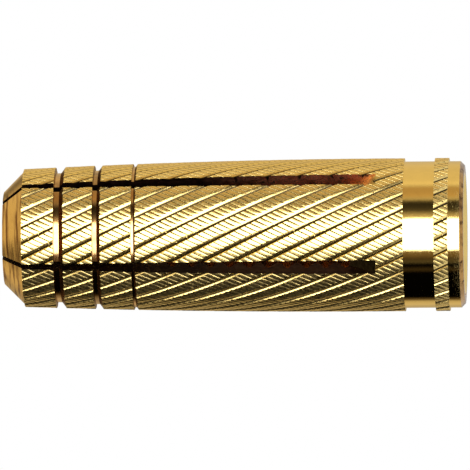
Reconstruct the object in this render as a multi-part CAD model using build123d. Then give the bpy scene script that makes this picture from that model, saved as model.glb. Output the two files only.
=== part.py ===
from build123d import *
import math
import os

# A brass expansion anchor: one turned sleeve that a machine screw spreads in a drilled hole.
# The sleeve is knurled, barbed near its nose, drilled, threaded, sawn lengthwise into legs, and the
# legs are then squeezed together, so the screw has to force them apart again.
# Frame: the origin is the middle of the mouth's flat face, the sleeve stands on it, and the axis
# runs up the Z axis to the nose. All sizes are in millimetres and degrees.

# Sleeve
overall_length = 30.0
knurl_diameter = 9.95  # over the crests: just under the 10 mm hole that the sleeve is made for
wall_thickness = 1.6515  # from the crests to the bore, which leaves the minor diameter of M8
neck_step = 0.215  # how far the turned collar and neck lie below the crests

# Mouth end, from the mouth's face upwards
collar_length = 1.0
ring_length = 0.91  # the narrow knurled ring between the collar and the neck
neck_length = 1.99
mouth_edge_chamfer = 0.25

# Bore
countersink_width = 0.68  # how far the countersink widens the bore's mouth all round
countersink_angle = 90.0
thread_depth = 21.0  # from the mouth's face to the end of the threaded length
drill_point_angle = 118.0
nose_wall_thickness = 3.0  # from the crests to the narrow hole through the nose

# Nose
nose_step = 0.15  # how far the turned nose lies below the knurl's crests
nose_cone_length = 1.32
nose_cone_angle = 45.0  # to the axis

# Barbs: square shoulders that face the mouth, each with a groove in front of it
nose_to_barb = 3.38  # from the nose's tip to the first shoulder
barb_pitch = 2.53
barb_groove_depths = (0.38, 0.32, 0.17)  # from the nose on, each groove is shallower
barb_groove_floors = (0.36, 0.29, 0.16)  # the width of each groove's floor
barb_ramp_angle = 53.0  # to the axis

# Sawn legs
slot_count = 5
slot_width = 0.95  # the saw blade's thickness
slot_start = 5.65  # where the saw leaves the outer surface, above the mouth's face
saw_diameter = 32.0
saw_reach = 0.8  # how near the axis the saw's edge comes
first_slot_angle = 29.15
leg_squeeze = 0.58  # how far each leg's tip is pressed inwards

# Knurl: coarse left-hand flutes with one gentle and one steep flank
flute_count = 30
flute_lead = 62.24  # axial length of one whole turn
flute_depth = 0.13
flute_gentle_flank = 0.27  # measured round the crest
flute_steep_flank = 0.105  # measured round the crest
flute_phase = 12.26  # angle of one flute's bottom at the mouth's face
flute_station = 3.2  # spacing of the cross-sections that each flute is drawn through

# Clearance by which a cutter runs past the surface that it cuts
overcut = 0.6

# Radii and heights that follow
knurl_radius = knurl_diameter / 2
neck_radius = knurl_radius - neck_step
bore_radius = knurl_radius - wall_thickness
nose_bore_radius = knurl_radius - nose_wall_thickness
ring_bottom = collar_length
ring_top = ring_bottom + ring_length
body_bottom = ring_top + neck_length
cone_bottom = overall_length - nose_cone_length
leg_length = overall_length - slot_start


def squeeze(height):
    """How far a leg is bent inwards at a height: nothing at the slot's start, most at the tip."""
    along_leg = max(0.0, height - slot_start) / leg_length
    return leg_squeeze * along_leg**2


def squeezed(radius, height):
    """A turned radius as it is after the legs are squeezed."""
    return radius - squeeze(height)


def on_profile(radius, height):
    """A point of a turned profile, squeezed, in the XZ plane."""
    return (squeezed(radius, height), height)


def bent_wall(radius, low, high):
    """The profile of a straight turned wall, after the squeeze has bent it between two heights."""
    middle = (low + high) / 2
    return ThreePointArc(on_profile(radius, low), on_profile(radius, middle), on_profile(radius, high))


def turned(profile):
    """A solid of revolution about the Z axis, from a closed profile in the XZ plane."""
    return revolve(make_face(Plane.XZ * profile), Axis.Z)


def flute_section(height):
    """One flute and the narrow flat land beside it, as an open line round the sleeve at a height."""
    crest = squeezed(knurl_radius, height)
    bottom_angle = flute_phase - 360 * height / flute_lead
    steep_edge = bottom_angle - math.degrees(flute_steep_flank / knurl_radius)
    gentle_edge = bottom_angle + math.degrees(flute_gentle_flank / knurl_radius)
    next_edge = steep_edge + 360 / flute_count

    def at(radius, angle):
        return Vector(radius, 0, height).rotate(Axis.Z, angle)

    bottom = at(crest - flute_depth, bottom_angle)
    corners = [at(crest, steep_edge), bottom, at(crest, gentle_edge), at(crest, next_edge)]
    return Wire([Edge.make_line(*side) for side in zip(corners, corners[1:])])


def round_the_sleeve(shape, count):
    """Equally spaced copies of a shape round the axis."""
    return [shape.rotate(Axis.Z, 360 * turn / count) for turn in range(count)]


def knurled_cylinder(low, high):
    """A solid with flutes winding up its side, between two flat ends."""
    spans = 1 + math.ceil((high - low) / flute_station)  # even a short ring winds through two spans
    heights = [low + (high - low) * span / spans for span in range(spans + 1)]
    skin = Shell.make_loft([flute_section(height) for height in heights])
    side = [face for copy in round_the_sleeve(skin, flute_count) for face in copy.faces()]
    ends = []
    for height in (low, high):
        outline = round_the_sleeve(flute_section(height), flute_count)
        ends.append(Face(Wire([edge for copy in outline for edge in copy.edges()])))
    return Solid(Shell(side + ends))


def mouth_end():
    """The plain turned collar and neck, below the knurled body."""
    edge = mouth_edge_chamfer
    return turned(
        Polyline(
            (0, 0),
            (neck_radius - edge, 0),
            (neck_radius, edge),
            (neck_radius, body_bottom),
            (0, body_bottom),
            close=True,
        )
    )


def nose_end():
    """The smooth cone that leads the sleeve into its hole."""
    base = squeezed(knurl_radius - nose_step, cone_bottom)
    tip = base - nose_cone_length * math.tan(math.radians(nose_cone_angle))
    return turned(
        Polyline((0, cone_bottom), (base, cone_bottom), (tip, overall_length), (0, overall_length), close=True)
    )


def barb_grooves():
    """The grooves that leave a square shoulder facing the mouth and a ramp facing the nose."""
    grooves = []
    for barb, (depth, floor_width) in enumerate(zip(barb_groove_depths, barb_groove_floors)):
        shoulder = overall_length - nose_to_barb - barb * barb_pitch
        floor = squeezed(knurl_radius - depth, shoulder)
        rise = depth + overcut
        ramp_foot = shoulder - floor_width
        ramp_top = ramp_foot - rise / math.tan(math.radians(barb_ramp_angle))
        grooves.append(
            turned(
                Polyline(
                    (floor, shoulder),
                    (floor, ramp_foot),
                    (floor + rise, ramp_top),
                    (floor + rise, shoulder),
                    close=True,
                )
            )
        )
    return grooves


def bore():
    """The threaded hole from the mouth, its drill point, and the narrow hole through the nose."""
    countersink_slope = math.tan(math.radians(countersink_angle / 2))
    countersink_rim = bore_radius + countersink_width + overcut * countersink_slope
    point_slope = math.tan(math.radians(drill_point_angle / 2))
    point_end = thread_depth + (bore_radius - nose_bore_radius) / point_slope
    through = overall_length + overcut
    line = Polyline(
        (0, through),
        (0, -overcut),
        (countersink_rim, -overcut),
        (bore_radius, countersink_width / countersink_slope),
        (bore_radius, slot_start),
    )
    line += bent_wall(bore_radius, slot_start, thread_depth)
    line += Line(on_profile(bore_radius, thread_depth), on_profile(nose_bore_radius, point_end))
    line += bent_wall(nose_bore_radius, point_end, through)
    line += Line(on_profile(nose_bore_radius, through), (0, through))
    return turned(line)


def slots():
    """The saw cuts: each ends in the saw's round edge, and closes to the nose as its legs are squeezed."""
    saw_radius = saw_diameter / 2
    saw_axis = saw_reach + saw_radius
    outside = knurl_radius + overcut
    past_nose = overall_length + overcut

    def saw_edge(radius):
        """How far the saw's edge lies below its centre, at a distance from the sleeve's axis."""
        return math.sqrt(saw_radius**2 - (saw_axis - radius) ** 2)

    def half_width(height):
        """Two legs close each slot, and each brings its edge in by its share of the squeeze."""
        return slot_width / 2 - squeeze(height) * math.sin(math.pi / slot_count)

    saw_height = slot_start + saw_edge(knurl_radius)
    run_out = [(x, saw_height - saw_edge(x)) for x in (saw_reach, (saw_reach + outside) / 2, outside)]
    side_view = ThreePointArc(*run_out)
    side_view += Polyline(run_out[2], (outside, past_nose), (saw_reach, past_nose), run_out[0])
    bend = (slot_start, (slot_start + past_nose) / 2, past_nose)
    right = [(half_width(height), height) for height in bend]
    left = [(-half_width(height), height) for height in bend]
    front_view = Polyline(left[0], (-slot_width / 2, 0), (slot_width / 2, 0), right[0])
    front_view += ThreePointArc(*right)
    front_view += Line(right[2], left[2])
    front_view += ThreePointArc(*left)
    slot = extrude(make_face(Plane.XZ * side_view), slot_width, both=True)
    slot &= extrude(make_face(Plane.YZ * front_view), outside)
    return [copy.rotate(Axis.Z, first_slot_angle) for copy in round_the_sleeve(slot, slot_count)]


def anchor_sleeve():
    """The whole anchor: one piece of brass."""
    ring = knurled_cylinder(ring_bottom, ring_top)
    sleeve = knurled_cylinder(body_bottom, cone_bottom).fuse(ring, mouth_end(), nose_end())
    return sleeve.cut(bore(), *barb_grooves(), *slots())


os.makedirs("parts", exist_ok=True)
export_step(anchor_sleeve(), "parts/anchor_sleeve.step")
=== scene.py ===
import math

import bpy
from mathutils import Matrix, Vector


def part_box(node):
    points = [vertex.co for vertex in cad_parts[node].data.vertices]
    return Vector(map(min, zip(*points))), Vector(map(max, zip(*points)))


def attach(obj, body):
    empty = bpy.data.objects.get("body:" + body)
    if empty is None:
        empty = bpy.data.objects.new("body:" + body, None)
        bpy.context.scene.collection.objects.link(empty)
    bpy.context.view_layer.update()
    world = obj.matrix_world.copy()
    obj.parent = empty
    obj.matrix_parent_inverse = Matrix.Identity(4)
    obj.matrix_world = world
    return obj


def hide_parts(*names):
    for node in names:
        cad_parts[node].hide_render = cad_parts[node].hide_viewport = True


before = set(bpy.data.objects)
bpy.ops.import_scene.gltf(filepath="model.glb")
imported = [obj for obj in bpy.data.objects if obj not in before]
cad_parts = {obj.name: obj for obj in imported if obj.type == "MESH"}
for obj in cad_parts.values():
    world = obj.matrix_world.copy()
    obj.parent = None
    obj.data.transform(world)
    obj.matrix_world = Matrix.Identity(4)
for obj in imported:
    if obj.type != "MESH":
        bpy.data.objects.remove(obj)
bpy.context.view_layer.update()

# The camera.
# A long lens a little more than a metre away, rolled on its side, so that the standing sleeve lies
# across the picture with its nose to the left and its mouth to the right.
mm = 0.001
camera_distance = 1150 * mm
camera_elevation = math.radians(-2.7)  # it looks at the sleeve a little from the mouth's side
camera_roll = math.radians(0.44)  # the mouth's end sits a little higher in the picture
camera_target = Vector((0.065, 0.0, 14.99)) * mm
picture_width = 30.58 * mm  # how much of the sleeve's axis the picture takes in
nearest_seen = 50 * mm
farthest_seen = 20000 * mm

forward = Vector((0, math.cos(camera_elevation), -math.sin(camera_elevation)))
level_right = Vector((0, -math.sin(camera_elevation), -math.cos(camera_elevation)))
level_up = Vector((1, 0, 0))
camera_right = level_right * math.cos(camera_roll) - level_up * math.sin(camera_roll)
camera_up = level_right * math.sin(camera_roll) + level_up * math.cos(camera_roll)

lens = bpy.data.cameras.new("camera")
lens.sensor_width = 36.0
lens.lens = lens.sensor_width * camera_distance / picture_width
lens.clip_start = nearest_seen
lens.clip_end = farthest_seen
camera = bpy.data.objects.new("camera", lens)
bpy.context.scene.collection.objects.link(camera)
turned = Matrix((camera_right, camera_up, -forward)).transposed().to_4x4()
camera.matrix_world = Matrix.Translation(camera_target - forward * camera_distance) @ turned
bpy.context.scene.camera = camera
bpy.context.scene.view_settings.view_transform = "Standard"


# The studio.
# A small round of white paper, and round it a dark room hung with golden cards. One tall softbox at
# the camera makes the bright band along the middle of every turned surface.
def new_nodes(owner):
    """An empty node tree, and a function that adds a node with its settings and plain inputs."""
    owner.use_nodes = True
    tree = owner.node_tree
    tree.nodes.clear()

    def add(kind, inputs=None, **settings):
        node = tree.nodes.new(kind)
        for key, value in settings.items():
            setattr(node, key, value)
        for key, value in (inputs or {}).items():
            if isinstance(value, bpy.types.NodeSocket):
                tree.links.new(value, node.inputs[key])
            else:
                node.inputs[key].default_value = value
        return node

    return add


def worked_out(add, first, operation, second):
    """The result of one sum on two values."""
    return add("ShaderNodeMath", {0: first, 1: second}, operation=operation).outputs[0]


def strongest(add, first, *others):
    """The largest of several shares."""
    for other in others:
        first = worked_out(add, first, "MAXIMUM", other)
    return first


def rising(add, value, start, full, least=0.0, most=1.0, **settings):
    """Grows from least, where the value is at start, to most, where it is at full."""
    span = {"Value": value, "From Min": start, "From Max": full, "To Min": least, "To Max": most}
    return add("ShaderNodeMapRange", span, **settings).outputs["Result"]


def blended(add, share, first, second):
    """The first colour, and as much of the second as the share says."""
    first_socket, second_socket, mixed_socket = 6, 7, 2  # the node's sockets for colours
    colours = {"Factor": share, first_socket: first, second_socket: second}
    return add("ShaderNodeMix", colours, data_type="RGBA").outputs[mixed_socket]


def by_bearing(add, turn, levels):
    """The light all round the sleeve: bearings in degrees, each with its level and its tint."""
    ramp = add("ShaderNodeValToRGB", {"Fac": turn})
    stops = ramp.color_ramp.elements
    stops.remove(stops[1])
    places = [(degrees + 180) / 360 for degrees, level, tint in levels]
    stops[0].position = places[0]
    for place in places[1:]:
        stops.new(place)
    for stop, (degrees, level, tint) in zip(stops, levels):
        stop.color = (*(level * channel for channel in tint), 1)
    return ramp.outputs["Color"]


def past_height(add, height, low, high):
    """Nothing up to the low height, in degrees above or below the sleeve, and all past the high one."""
    start = math.sin(math.radians(low))
    full = math.sin(math.radians(high))
    return rising(add, height, start, full, interpolation_type="SMOOTHSTEP")


gold = (1.0, 0.80, 0.47)  # the golden cards that brass is photographed with
amber = (1.0, 0.66, 0.30)
plain = (1.0, 1.0, 1.0)
black = (0, 0, 0, 1)
white = (1, 1, 1, 1)

# Bearings start at the camera, and the positive ones lie below the sleeve in the picture
wall_levels = [
    (-178, 0.60, gold),
    (-160, 0.66, gold),
    (-142, 0.78, gold),
    (-95, 0.84, gold),
    (-88, 0.97, gold),
    (-84, 0.72, gold),
    (-79, 0.52, amber),
    (-70, 0.54, amber),
    (-64, 0.62, amber),
    (-58, 0.58, gold),
    (-54, 0.08, gold),
    (-50, 0.03, gold),
    (-43, 0.05, gold),
    (-38, 0.09, gold),
    (-32, 0.45, gold),
    (-26, 0.85, gold),
    (25, 0.24, amber),
    (34, 0.15, amber),
    (39, 0.06, amber),
    (44, 0.10, gold),
    (47, 0.001, gold),
    (51, 0.001, gold),
    (57, 0.045, amber),
    (62, 0.001, gold),
    (117, 0.001, gold),
    (124, 0.12, amber),
    (132, 0.62, gold),
    (143, 0.72, gold),
    (155, 0.55, gold),
    (179, 0.50, gold),
]
ceiling_levels = [
    (-179, 0.70, gold),
    (20, 0.70, gold),
    (42, 0.02, gold),
    (116, 0.02, gold),
    (132, 0.70, gold),
    (179, 0.70, gold),
]
ceiling_heights = (28, 44)  # where the ceiling begins and where it is all that is seen
# Two of the cards are low. Past them, toward the nose or the mouth, the room gets as dark as this
above_upper_card = [(-179, 0.7, plain), (-95, 0.7, plain), (-88, 0.0, plain), (179, 0.0, plain)]
upper_card_heights = (12, 24)
above_lower_card = [
    (-179, 0.0, plain),
    (108, 0.0, plain),
    (116, 0.97, plain),
    (134, 0.97, plain),
    (148, 0.2, plain),
    (179, 0.2, plain),
]
lower_card_heights = (3, 8)

room = bpy.data.worlds.new("studio")
bpy.context.scene.world = room
add = new_nodes(room)
direction = add("ShaderNodeSeparateXYZ", {0: add("ShaderNodeTexCoord").outputs["Generated"]}).outputs
downwards = worked_out(add, direction["X"], "MULTIPLY", -1.0)
toward_camera = worked_out(add, direction["Y"], "MULTIPLY", -1.0)
bearing = worked_out(add, downwards, "ARCTAN2", toward_camera)
turn = rising(add, bearing, -math.pi, math.pi)
height = add("ShaderNodeMath", {0: direction["Z"]}, operation="ABSOLUTE").outputs[0]
shades = []
for levels, heights in ((above_upper_card, upper_card_heights), (above_lower_card, lower_card_heights)):
    past_card = past_height(add, height, *heights)
    shades.append(worked_out(add, by_bearing(add, turn, levels), "MULTIPLY", past_card))
walls = blended(add, strongest(add, *shades), by_bearing(add, turn, wall_levels), black)
ceiling = by_bearing(add, turn, ceiling_levels)
cards = blended(add, past_height(add, height, *ceiling_heights), walls, ceiling)
card_light = add("ShaderNodeBackground", {"Color": cards, "Strength": 1.0})
white_backdrop = add("ShaderNodeBackground", {"Color": white, "Strength": 1.0})
camera_ray = add("ShaderNodeLightPath").outputs["Is Camera Ray"]
seen = add("ShaderNodeMixShader", {0: camera_ray, 1: card_light.outputs[0], 2: white_backdrop.outputs[0]})
add("ShaderNodeOutputWorld", {"Surface": seen.outputs[0]})

softbox_distance = 400 * mm
softbox_bearing = math.radians(-0.5)  # a little above the camera in the picture
softbox_spread = math.radians(49)  # how wide the sleeve sees it
softbox_tallness = math.radians(90)
softbox_level = 5.2
sleeve_middle = Vector((0, 0, 15 * mm))
softbox_data = bpy.data.lights.new("softbox", "AREA")
softbox_data.shape = "RECTANGLE"
softbox_data.size = 2 * softbox_distance * math.tan(softbox_spread / 2)
softbox_data.size_y = 2 * softbox_distance * math.tan(softbox_tallness / 2)
softbox_data.energy = softbox_level * math.pi * softbox_data.size * softbox_data.size_y
softbox = bpy.data.objects.new("softbox", softbox_data)
bpy.context.scene.collection.objects.link(softbox)
away = Vector((-math.sin(softbox_bearing), -math.cos(softbox_bearing), 0))
softbox.location = away * softbox_distance + sleeve_middle
softbox.rotation_euler = away.to_track_quat("Z", "Y").to_euler()
softbox.visible_camera = False

paper_radius = 18 * mm
paper_drop = 0.02 * mm  # it lies just clear of the mouth's face
shadow_share = 0.35  # how much of the paper's tone comes from its real light, which holds the shadow
paper_colour = (0.9, 0.9, 0.9, 1)
bpy.ops.object.select_all(action="DESELECT")
bpy.ops.mesh.primitive_circle_add(
    vertices=96, radius=paper_radius, fill_type="NGON", location=(0, 0, -paper_drop)
)
floor = bpy.context.object
floor.name = "paper_floor"
bpy.ops.object.transform_apply(location=True)
paper = bpy.data.materials.new("white_paper")
add = new_nodes(paper)
rays = add("ShaderNodeLightPath").outputs
shown = strongest(add, rays["Is Camera Ray"], rays["Is Glossy Ray"], rays["Is Transmission Ray"])
whiteness = worked_out(add, shown, "MULTIPLY", 1 - shadow_share)
glow = add("ShaderNodeEmission", {"Color": white, "Strength": 1.0})
matt = add("ShaderNodeBsdfDiffuse", {"Color": paper_colour})
upper_side = add("ShaderNodeMixShader", {0: whiteness, 1: matt.outputs[0], 2: glow.outputs[0]})
lower_side = add("ShaderNodeBsdfTransparent")
from_below = add("ShaderNodeNewGeometry").outputs["Backfacing"]
both_sides = add(
    "ShaderNodeMixShader", {0: from_below, 1: upper_side.outputs[0], 2: lower_side.outputs[0]}
)
add("ShaderNodeOutputMaterial", {"Surface": both_sides.outputs[0]})
floor.data.materials.append(paper)


# The finishes of the brass.
# The sleeve is cut from one bar of leaded brass. Each tool leaves its own finish on what it cuts:
# the knurling wheels, the lathe, the saw with its dark oily walls, and the tap. Painted shade darkens
# the knurl's grooves, the floors of the barb grooves and one side of the saw's walls.
finishes = {}
stain_size = 1.6 * mm
stain_levels = (0.45, 0.75)  # the noise at which a stain begins and at which it is full
ring_levels = (0.5, 0.66)  # the same for the dark in the tool's marks
mark_levels = (0.3, 0.7)  # from the smoothest to the roughest of the marks
roughness_swing = 0.25  # how far the tool's marks change the roughness, either way
# The knurl's grooves are darkened toward their roots as painted shade.
knurl_groove_shade = 0.97  # how dark the knurl's deepest lines are
wall_darkening_heights = (9 * mm, 17 * mm)  # the saw's walls get darker between these two
# The darkening from one side of the axis to the other is painted shade.
shaded_side = (1 * mm, -1 * mm)  # and from one side of the axis to the other
shaded_side_share = 0.95


def brass(name, colour, dirt_and_shade, roughness, grain_size, grain_depth, streaks, fineness=(1, 1, 1), rings=0.0,
          saw_wall_darkening=0.0, dark_depths=(0.4, 0.75)):
    """A finish with the marks of the tool that cut it: their size, their depth, and how much finer
    they are along each axis. Streaks, rings and the saw wall darkening are how dark the stains, the
    marks themselves and the saw's walls get; the walls get darker toward the nose, and on one side as
    painted shade. The dark depths are where the painted shade in the knurl's grooves begins and is full."""
    finish = bpy.data.materials.new(name + "_brass")
    add = new_nodes(finish)
    place = add("ShaderNodeTexCoord").outputs["Object"]
    along = add("ShaderNodeSeparateXYZ", {0: place}).outputs
    depth = add("ShaderNodeAttribute", attribute_name="knurl_depth").outputs["Fac"]
    stretched = add("ShaderNodeMapping", {"Vector": place, "Scale": fineness}).outputs[0]
    marks = add(
        "ShaderNodeTexNoise", {"Vector": stretched, "Scale": 1 / grain_size, "Detail": 3.0, "Roughness": 0.6}
    ).outputs["Fac"]
    stain = add(
        "ShaderNodeTexNoise", {"Vector": place, "Scale": 1 / stain_size, "Detail": 4.0, "Roughness": 0.65}
    ).outputs["Fac"]
    # The share of the darker colour: real stains and tool marks, painted shade in the knurl's grooves, the
    # saw walls' darkening toward the nose, and painted shade on one side of those walls.
    stain_and_shade_share = strongest(
        add,
        rising(add, stain, *stain_levels, most=streaks),
        rising(add, depth, *dark_depths, most=knurl_groove_shade),
        rising(add, marks, *ring_levels, most=rings),
        rising(add, along["Z"], *wall_darkening_heights, most=saw_wall_darkening),
        rising(add, along["X"], *shaded_side, most=shaded_side_share * saw_wall_darkening),
    )
    smoothest = roughness * (1 - roughness_swing)
    roughest = roughness * (1 + roughness_swing)
    bump = add("ShaderNodeBump", {"Height": marks, "Distance": grain_depth, "Strength": 1.0})
    surface = add(
        "ShaderNodeBsdfPrincipled",
        {
            "Base Color": blended(add, stain_and_shade_share, (*colour, 1), (*dirt_and_shade, 1)),
            "Roughness": rising(add, marks, *mark_levels, least=smoothest, most=roughest),
            "Normal": bump.outputs["Normal"],
            "Metallic": 1.0,
        },
    )
    add("ShaderNodeOutputMaterial", {"Surface": surface.outputs[0]})
    finishes[name] = finish


bright_brass = (0.88, 0.68, 0.26)
# The darker colour for stains and tool marks, and for the painted shade in the knurl's grooves.
stain_and_shade_brass = (0.02, 0.013, 0.008)
# The darker colour of the saw's walls: stains and tool marks, darkening toward the nose, and painted shade
# on one side.
saw_stain_and_shade_brass = (0.02, 0.009, 0.008)
brass(
    "rubbed",
    colour=bright_brass,
    dirt_and_shade=stain_and_shade_brass,
    roughness=0.32,
    grain_size=0.12 * mm,
    grain_depth=0.002 * mm,
    streaks=0.1,
)
brass(
    "knurled",
    colour=bright_brass,
    dirt_and_shade=stain_and_shade_brass,
    roughness=0.25,
    grain_size=0.12 * mm,
    grain_depth=0.003 * mm,
    streaks=0.15,
    dark_depths=(0.42, 0.68),
)
brass(
    "cross_knurled",
    colour=bright_brass,
    dirt_and_shade=stain_and_shade_brass,
    roughness=0.30,
    grain_size=0.12 * mm,
    grain_depth=0.003 * mm,
    streaks=0.15,
    dark_depths=(0.10, 0.25),
)
brass(
    "turned",
    colour=bright_brass,
    dirt_and_shade=stain_and_shade_brass,
    roughness=0.07,
    grain_size=0.5 * mm,
    grain_depth=0.0035 * mm,
    streaks=0.1,
    fineness=(2, 2, 9),
)
brass(
    "coned",
    colour=(0.90, 0.60, 0.21),
    dirt_and_shade=(0.20, 0.08, 0.025),
    roughness=0.22,
    grain_size=3.0 * mm,
    grain_depth=0.016 * mm,
    streaks=0.3,
    fineness=(1, 1, 13),
    rings=0.95,
)
# The barb grooves' floors are darker than the bright brass: painted shade in the grooves.
brass(
    "grooved",
    colour=(0.66, 0.42, 0.18),
    dirt_and_shade=(0.06, 0.02, 0.01),
    roughness=0.14,
    grain_size=0.5 * mm,
    grain_depth=0.003 * mm,
    streaks=0.9,
    fineness=(1, 1, 6),
)
brass(
    "sawn",
    colour=(0.80, 0.33, 0.19),
    dirt_and_shade=saw_stain_and_shade_brass,
    roughness=0.4,
    grain_size=0.5 * mm,
    grain_depth=0.03 * mm,
    streaks=1.0,
    fineness=(1.4, 1.4, 1),
    rings=0.95,
    saw_wall_darkening=0.97,
)
brass(
    "run_out",
    colour=(0.88, 0.74, 0.24),
    dirt_and_shade=saw_stain_and_shade_brass,
    roughness=0.35,
    grain_size=0.3 * mm,
    grain_depth=0.01 * mm,
    streaks=0.5,
    fineness=(1, 1, 3),
    saw_wall_darkening=0.97,
)
brass(
    "shouldered",
    colour=(0.30, 0.15, 0.05),
    dirt_and_shade=(0.04, 0.015, 0.01),
    roughness=0.3,
    grain_size=0.4 * mm,
    grain_depth=0.01 * mm,
    streaks=0.9,
)
brass(
    "faced",
    colour=(0.46, 0.27, 0.09),
    dirt_and_shade=(0.05, 0.02, 0.01),
    roughness=0.25,
    grain_size=0.5 * mm,
    grain_depth=0.01 * mm,
    streaks=1.0,
    rings=0.9,
)
brass(
    "tapped",
    colour=(0.72, 0.42, 0.20),
    dirt_and_shade=(0.05, 0.02, 0.01),
    roughness=0.3,
    grain_size=0.2 * mm,
    grain_depth=0.006 * mm,
    streaks=0.6,
)
finish_slots = {name: slot for slot, name in enumerate(finishes)}


# The knurled bar.
# Round bar, rolled between two wheels: one presses coarse left-hand flutes with a gentle and a
# steep flank, the other fine right-hand grooves that cross the lands between the flutes.
high_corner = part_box("anchor_sleeve")[1]
sleeve_length = high_corner[2]
knurl_radius = high_corner[0]
bar_overlength = 1 * mm
bar_facets = 96


def dress(tool, finish):
    """Every face of a tool or blank leaves its own finish on the brass."""
    for material in finishes.values():
        tool.data.materials.append(material)
    for face in tool.data.polygons:
        face.material_index = finish_slots[finish]


def apply_modifiers(piece):
    """Makes a piece's modifiers part of its mesh."""
    bpy.context.view_layer.objects.active = piece
    for modifier in list(piece.modifiers):
        bpy.ops.object.modifier_apply(modifier=modifier.name)


def cut(blank, tool, operation="DIFFERENCE"):
    """Takes the tool's shape off the blank, or keeps only what the two share."""
    boolean = blank.modifiers.new(tool.name, "BOOLEAN")
    boolean.operation = operation
    boolean.solver = "MANIFOLD"
    boolean.object = tool
    apply_modifiers(blank)
    bpy.data.objects.remove(tool)


def round_the_axis(tool, count, first_angle):
    """Copies of a tool at equal angles round the sleeve's axis, joined into one."""
    bpy.ops.object.select_all(action="DESELECT")
    for turn in range(1, count):
        copy = tool.copy()
        copy.data = tool.data.copy()
        copy.data.transform(Matrix.Rotation(first_angle + turn * 2 * math.pi / count, 4, "Z"))
        bpy.context.scene.collection.objects.link(copy)
        copy.select_set(True)
    tool.data.transform(Matrix.Rotation(first_angle, 4, "Z"))
    tool.select_set(True)
    bpy.context.view_layer.objects.active = tool
    bpy.ops.object.join()


def drawn_outline(name, corners):
    """A closed outline, drawn by moving the corners of a circle."""
    bpy.ops.object.select_all(action="DESELECT")
    bpy.ops.mesh.primitive_circle_add(vertices=len(corners), radius=mm, location=(0, 0, 0))
    outline = bpy.context.object
    outline.name = name
    for vertex, corner in zip(outline.data.vertices, corners):
        vertex.co = corner
    return outline


def screw_up(tool, turns, rise, steps):
    """Winds an outline up the Z axis into a closed helical tool."""
    winding = tool.modifiers.new("winding", "SCREW")
    winding.angle = 2 * math.pi * turns
    winding.screw_offset = rise
    winding.steps = winding.render_steps = steps
    winding.use_normal_calculate = True
    apply_modifiers(tool)
    bpy.ops.object.mode_set(mode="EDIT")
    bpy.ops.mesh.select_all(action="SELECT")
    bpy.ops.mesh.fill_holes(sides=0)
    bpy.ops.mesh.normals_make_consistent(inside=False)
    bpy.ops.object.mode_set(mode="OBJECT")


def knurl_wheel(name, count, lead, ridge, phase, finish):
    """All the grooves that one knurling wheel presses: its ridge's outline is given across and down."""
    proud = 0.008 * mm  # the ridge's two flanks run on this far above the bar
    (low, _), (near_low, depth_low) = ridge[:2]
    (near_high, depth_high), (high, _) = ridge[-2:]
    above_low = low - proud * (near_low - low) / depth_low
    above_high = high + proud * (high - near_high) / depth_high
    section = [(above_low, -proud), *ridge[1:-1], (above_high, -proud)]
    start = -bar_overlength
    outline = drawn_outline(name, [(knurl_radius - depth, across, start) for across, depth in section])
    travel = sleeve_length + 2 * bar_overlength
    turns = travel / lead
    screw_up(outline, turns, travel, steps=math.ceil(abs(turns) * bar_facets))
    dress(outline, finish)
    round_the_axis(outline, count, phase + 2 * math.pi * start / lead)
    return outline


bpy.ops.object.select_all(action="DESELECT")
bpy.ops.mesh.primitive_cylinder_add(
    vertices=bar_facets,
    radius=knurl_radius,
    depth=sleeve_length + bar_overlength,
    location=(0, 0, sleeve_length / 2),
)
sleeve = bpy.context.object
sleeve.name = "knurled_sleeve"
bpy.ops.object.transform_apply(location=True)
dress(sleeve, "rubbed")

flute_depth = 0.11 * mm
coarse_ridge = [
    (-0.11 * mm, 0),
    (0, flute_depth),
    (0.09 * mm, 0.058 * mm),
    (0.20 * mm, 0.028 * mm),
    (0.34 * mm, 0),
]
flutes = knurl_wheel(
    "flutes", count=30, lead=-62.24 * mm, ridge=coarse_ridge, phase=math.radians(12.26), finish="knurled"
)
cut(sleeve, flutes)
fine_ridge = [
    (-0.13 * mm, 0),
    (-0.055 * mm, 0.008 * mm),
    (0, 0.040 * mm),
    (0.03 * mm, 0.008 * mm),
    (0.11 * mm, 0),
]
cross_grooves = knurl_wheel(
    "cross_grooves", count=90, lead=62.0 * mm, ridge=fine_ridge, phase=0.0, finish="cross_knurled"
)
cut(sleeve, cross_grooves)


# The lathe work.
# A collar and a neck at the mouth, three barbed grooves and the cone at the nose, and the drilled
# bore, all turned in one setting on the knurled bar. The knurl stays where the tool didn't reach.
collar_length = 1.0 * mm
ring_length = 0.91 * mm
neck_length = 1.99 * mm
neck_step = 0.215 * mm
neck_radius = knurl_radius - neck_step
edge_chamfer = 0.25 * mm
wall_thickness = 1.6515 * mm  # it leaves the minor diameter of the M8 thread
bore_radius = knurl_radius - wall_thickness
countersink_width = 0.68 * mm
thread_depth = 21.0 * mm
drill_point_angle = math.radians(118)
nose_wall_thickness = 3.0 * mm
nose_bore_radius = knurl_radius - nose_wall_thickness
drill_point_length = (bore_radius - nose_bore_radius) / math.tan(drill_point_angle / 2)
nose_step = 0.15 * mm
nose_cone_length = 1.32 * mm
nose_cone_width = 1.27 * mm  # it becomes 45 degrees once the legs are squeezed
nose_to_shoulder = 3.38 * mm
shoulder_pitch = 2.53 * mm
groove_depths = (0.38 * mm, 0.32 * mm, 0.17 * mm)  # from the nose on, each groove is shallower
groove_floors = (0.36 * mm, 0.29 * mm, 0.16 * mm)
ramp_angle = math.radians(53)
knurl_clearance = 0.3 * mm
clear_of_knurl = knurl_radius + knurl_clearance
lathe_steps = 216
merge_distance = 0.0005 * mm


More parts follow.
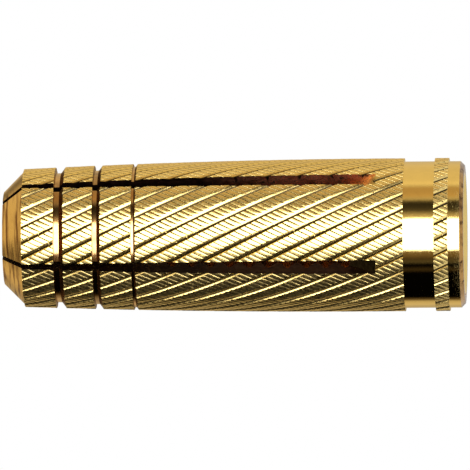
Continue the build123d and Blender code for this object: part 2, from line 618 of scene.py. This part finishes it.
def lathe_outline():
    """The turned sleeve's section, from the mouth up its outside and down its bore."""
    ring_low = collar_length
    ring_high = ring_low + ring_length
    body_low = ring_high + neck_length
    cone_low = sleeve_length - nose_cone_length
    nose_radius = knurl_radius - nose_step
    section = [
        (bore_radius + countersink_width, 0),
        (neck_radius - edge_chamfer, 0),
        (neck_radius, edge_chamfer),
        (neck_radius, ring_low),
        (clear_of_knurl, ring_low),
        (clear_of_knurl, ring_high),
        (neck_radius, ring_high),
        (neck_radius, body_low),
        (clear_of_knurl, body_low),
    ]
    for groove in reversed(range(len(groove_depths))):
        shoulder = sleeve_length - nose_to_shoulder - groove * shoulder_pitch
        floor_radius = knurl_radius - groove_depths[groove]
        ramp_foot = shoulder - groove_floors[groove]
        section += [
            (clear_of_knurl, ramp_foot - (clear_of_knurl - floor_radius) / math.tan(ramp_angle)),
            (floor_radius, ramp_foot),
            (floor_radius, shoulder),
            (clear_of_knurl, shoulder),
        ]
    section += [
        (clear_of_knurl, cone_low),
        (nose_radius, cone_low),
        (nose_radius - nose_cone_width, sleeve_length),
        (nose_bore_radius, sleeve_length),
        (nose_bore_radius, thread_depth + drill_point_length),
        (bore_radius, thread_depth),
        (bore_radius, countersink_width),
    ]
    return [(radius, 0, height) for radius, height in section]


lathe = drawn_outline("lathe", lathe_outline())
bpy.context.view_layer.objects.active = lathe
bpy.ops.object.mode_set(mode="EDIT")
bpy.ops.mesh.select_all(action="SELECT")
bpy.ops.mesh.spin(steps=lathe_steps, angle=2 * math.pi, center=(0, 0, 0), axis=(0, 0, 1))
bpy.ops.mesh.select_all(action="SELECT")
bpy.ops.mesh.remove_doubles(threshold=merge_distance)
bpy.ops.mesh.normals_make_consistent(inside=False)
bpy.ops.object.mode_set(mode="OBJECT")
dress(lathe, "turned")
hole_margin = 1 * mm  # round the nose's hole: its wall and the flat end lie within, the outside beyond
for face in lathe.data.polygons:
    outside = math.hypot(face.center.x, face.center.y) > nose_bore_radius + hole_margin
    looks_down = face.normal.z < -0.5
    upright = abs(face.normal.z) < 0.3
    if looks_down and face.center.z < edge_chamfer:
        face.material_index = finish_slots["faced"]
    elif outside and face.center.z > sleeve_length - nose_cone_length:
        face.material_index = finish_slots["coned"]
    elif outside and face.center.z > thread_depth:
        face.material_index = finish_slots["grooved" if upright else "shouldered"]
cut(sleeve, lathe, "INTERSECT")


# The screw thread.
# A right-hand M8 thread of 1.25 mm pitch, cut by a tap from the mouth to the drill's point. Its
# open turns show as scallops on the walls of the saw cuts.
thread_pitch = 1.25 * mm
thread_outer_radius = 4.0 * mm
thread_overlap = 0.05 * mm  # how far the tool stands into the open bore
thread_angle = math.radians(60)
root_half_width = thread_pitch / 16
tooth_height = thread_outer_radius - bore_radius + thread_overlap
mouth_half_width = root_half_width + tooth_height * math.tan(thread_angle / 2)
thread_start = -1.5 * thread_pitch  # the tap starts outside the mouth
steps_per_turn = 40
tap = drawn_outline(
    "tap",
    [
        (bore_radius - thread_overlap, 0, thread_start - mouth_half_width),
        (thread_outer_radius, 0, thread_start - root_half_width),
        (thread_outer_radius, 0, thread_start + root_half_width),
        (bore_radius - thread_overlap, 0, thread_start + mouth_half_width),
    ],
)
thread_turns = (thread_depth - thread_start) / thread_pitch - 1  # it ends a turn before the bore does
screw_up(tap, thread_turns, thread_turns * thread_pitch, steps=math.ceil(thread_turns * steps_per_turn))
dress(tap, "tapped")
cut(sleeve, tap)


# The saw cuts.
# Five legs, sawn from the nose with a thin round saw. Each cut runs out in the saw's own curve, so
# it is longer on the outside than in the bore.
slot_count = 5
slot_width = 0.95 * mm
slot_start = 5.65 * mm
saw_radius = 16.0 * mm
saw_reach = 0.8 * mm  # how near the sleeve's axis the saw's edge comes
saw_axis = saw_radius + saw_reach
saw_facets = 240
first_slot = math.radians(29.15)
leg_angle = 2 * math.pi / slot_count
saw_height = slot_start + math.sqrt(saw_radius**2 - (saw_axis - knurl_radius) ** 2)
wall_stations = 24  # the saw's walls are divided along the legs, so that they bend with them
on_the_plane = 1e-7

bpy.ops.object.select_all(action="DESELECT")
bpy.ops.mesh.primitive_cylinder_add(
    vertices=saw_facets,
    radius=saw_radius,
    depth=slot_width,
    location=(saw_axis, 0, saw_height),
    rotation=(math.pi / 2, 0, 0),
)
saw = bpy.context.object
saw.name = "saw"
bpy.ops.object.transform_apply(location=True, rotation=True)
bpy.ops.object.mode_set(mode="EDIT")
bpy.ops.mesh.select_all(action="SELECT")
bpy.ops.mesh.bisect(
    plane_co=(saw_axis, 0, saw_height), plane_no=(0, 0, 1), clear_outer=True, threshold=on_the_plane
)
bpy.ops.mesh.select_all(action="DESELECT")
bpy.ops.mesh.select_mode(type="EDGE")
bpy.ops.mesh.select_non_manifold()
travel = sleeve_length + bar_overlength - saw_height
bpy.ops.mesh.extrude_region_move(TRANSFORM_OT_translate={"value": (0, 0, travel)})
bpy.ops.mesh.edge_face_add()
for station in range(1, wall_stations):
    height_of_cut = slot_start + (sleeve_length - slot_start) * station / wall_stations
    bpy.ops.mesh.select_all(action="SELECT")
    bpy.ops.mesh.bisect(plane_co=(0, 0, height_of_cut), plane_no=(0, 0, 1), threshold=on_the_plane)
bpy.ops.mesh.select_all(action="SELECT")
bpy.ops.mesh.normals_make_consistent(inside=False)
bpy.ops.object.mode_set(mode="OBJECT")
dress(saw, "sawn")
for face in saw.data.polygons:
    on_the_rim = abs(face.normal.y) < 0.5
    if on_the_rim:
        face.material_index = finish_slots["run_out"]
round_the_axis(saw, slot_count, first_slot)
cut(sleeve, saw)


# The squeeze.
# The five legs are pressed together, each along its own middle, so the sleeve tapers to the nose
# and the saw cuts close. The screw later forces them apart again.
leg_squeeze = 0.58 * mm
deepest_knurl = 1.05  # in flute depths: what lies deeper was turned, drilled or sawn

# How deep the knurl is at each point is kept from before, for the painted shade in its grooves
depths = sleeve.data.attributes.new("knurl_depth", "FLOAT", "POINT")
for vertex, depth in zip(sleeve.data.vertices, depths.data):
    reach = math.hypot(vertex.co.x, vertex.co.y)
    below_crest = (knurl_radius - reach) / flute_depth
    depth.value = below_crest if below_crest < deepest_knurl else 0.0

for vertex in sleeve.data.vertices:
    along_leg = max(0.0, vertex.co.z - slot_start) / (sleeve_length - slot_start)
    leg = math.floor((math.atan2(vertex.co.y, vertex.co.x) - first_slot) / leg_angle)
    middle = first_slot + (leg + 0.5) * leg_angle
    inwards = leg_squeeze * along_leg**2
    vertex.co.x -= inwards * math.cos(middle)
    vertex.co.y -= inwards * math.sin(middle)

bpy.ops.object.select_all(action="DESELECT")
sleeve.select_set(True)
bpy.context.view_layer.objects.active = sleeve
bpy.ops.object.shade_smooth_by_angle(angle=math.radians(30))

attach(sleeve, "root")
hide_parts("anchor_sleeve")
